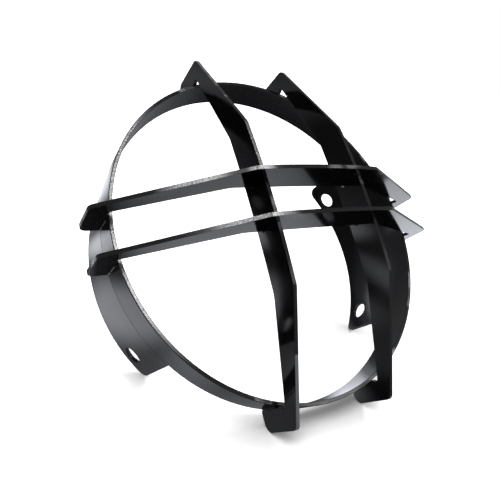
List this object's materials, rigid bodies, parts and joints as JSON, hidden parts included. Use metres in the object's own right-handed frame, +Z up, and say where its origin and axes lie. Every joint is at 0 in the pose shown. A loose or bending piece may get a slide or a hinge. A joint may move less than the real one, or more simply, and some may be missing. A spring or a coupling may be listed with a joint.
{
  "type": "motorcycle headlight guard",
  "caption": "Round steel guard for a motorcycle headlamp: a rolled ring with a bolt-on tab at each side and a stone-guard grid of slats on edge, with bent fronts and hooked ends",
  "frame": {"origin": "centre of the ring in the plane of its front edge", "axes": "+Y along the ring's axis from the grid back towards the lamp, +X across to the guard's right-hand tab as seen from the front left, +Z up as the guard is mounted"},
  "size_m": [0.2102, 0.0995, 0.2024],
  "materials": {
    "black_paint": "gloss black paint over ground welds, thin and rough on the cut edges"
  },
  "bodies": {
    "root": {"ring_band": "black_paint", "left_mount_tab": "black_paint", "right_mount_tab": "black_paint", "upper_cross_slat": "black_paint", "lower_cross_slat": "black_paint", "left_upright_slat": "black_paint", "right_upright_slat": "black_paint"}
  },
  "joints": []
}
